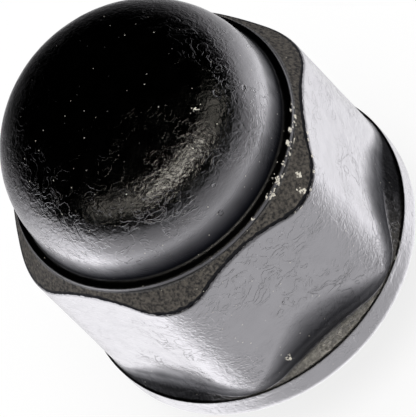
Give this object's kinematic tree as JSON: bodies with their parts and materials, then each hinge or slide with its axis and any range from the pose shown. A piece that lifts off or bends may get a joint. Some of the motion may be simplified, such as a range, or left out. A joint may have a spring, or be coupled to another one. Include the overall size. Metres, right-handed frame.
{
  "type": "lug nut",
  "caption": "Black closed-end wheel lug nut: domed cap, rounded hexagon for a socket, narrow flange, conical seat and a blind threaded bore that clamps a wheel on its stud.",
  "frame": {"origin": "on the nut's axis, at the bottom of the ring round the mouth of the thread", "axes": "+Z along the axis towards the dome; +X through a corner of the hexagon, so a flat faces -Y"},
  "size_m": [0.0232, 0.0232, 0.0283],
  "materials": {
    "black_coating": "satin black coating with a fine orange-peel texture over forged steel"
  },
  "bodies": {
    "root": {"lug_nut": "black_coating"}
  },
  "joints": []
}
